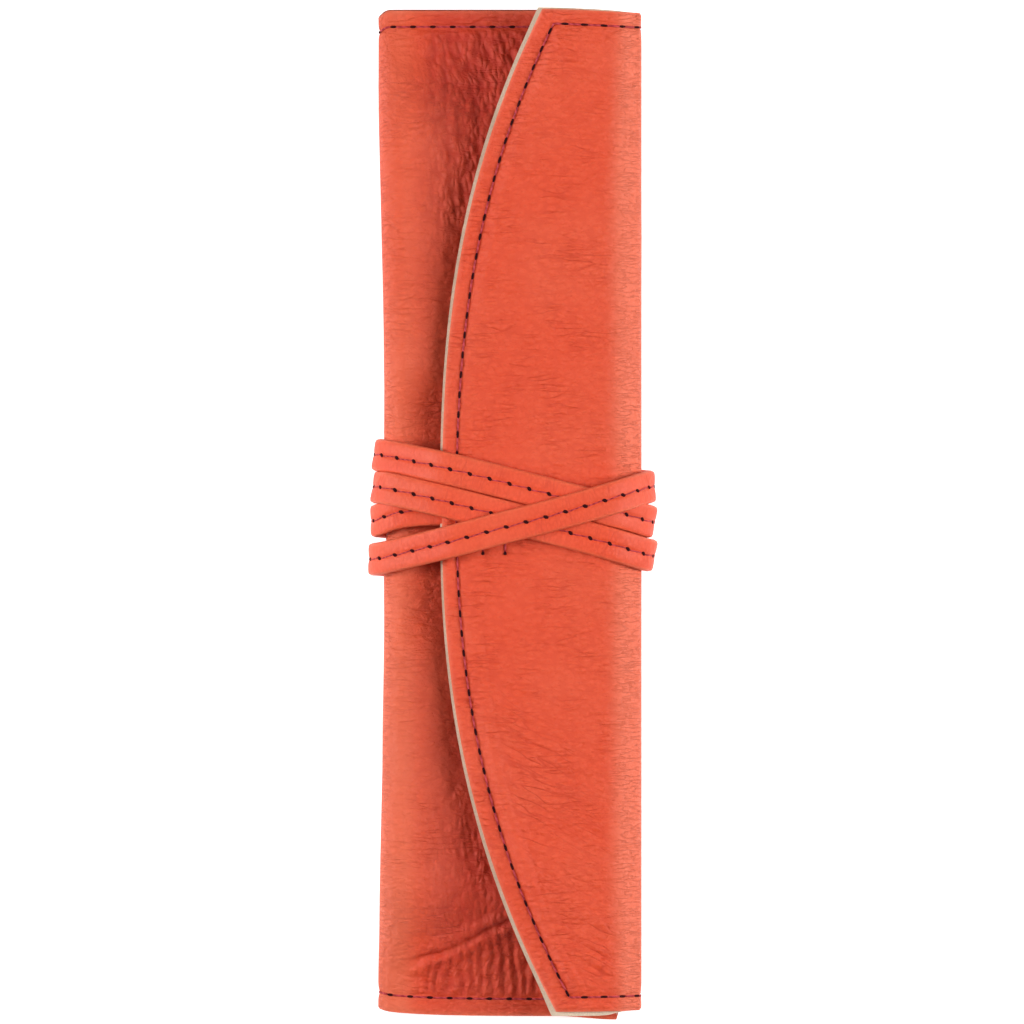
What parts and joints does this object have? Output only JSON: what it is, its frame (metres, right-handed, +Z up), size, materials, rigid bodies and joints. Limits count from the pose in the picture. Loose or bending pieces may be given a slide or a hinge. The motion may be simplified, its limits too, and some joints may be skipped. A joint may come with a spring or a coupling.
{
  "type": "pencil case",
  "caption": "Slim soft leather pencil case with a curved overlapping flap, pale lining and a long narrow strap wound round its waist.",
  "frame": {"origin": "middle of the case's back, on the surface it lies on", "axes": "+Z up through the flap, +Y along the case towards its head end, +X from the folded edge towards the flap's hinge side"},
  "size_m": [0.0584, 0.2046, 0.0243],
  "materials": {
    "leather": "coral pebbled leather, semi-matt",
    "strap": "coral leather folded over its long edges, finer grain",
    "lining": "beige suede-like lining, matt",
    "thread": "plum waxed sewing thread"
  },
  "bodies": {
    "pouch": {"pouch_leather": "leather", "pouch_lining": "lining", "head_seam_thread": "thread", "foot_seam_thread": "thread", "mouth_seam_thread": "thread"},
    "fold": {"fold_leather": "leather", "fold_lining": "lining"},
    "flap": {"flap_leather": "leather", "flap_lining": "lining", "flap_seam_thread": "thread", "anchor_patch": "leather", "anchor_seam_thread": "thread", "wrap_strap": "strap", "strap_seam_thread": "thread"}
  },
  "joints": [
    {"name": "fold_open", "type": "hinge", "parent": "pouch", "child": "fold", "pos_m": [0.0255, 0, 0.0006], "axis": [0, 1, 0], "range_deg": [0, 90]},
    {"name": "flap_open", "type": "hinge", "parent": "fold", "child": "flap", "pos_m": [0.0255, 0, 0.0184], "axis": [0, 1, 0], "range_deg": [0, 90], "deforming": ["wrap_strap", "strap_seam_thread"]}
  ],
  "couplings": [
    {"joint": "flap_open", "follows": "fold_open", "ratio": 1}
  ]
}
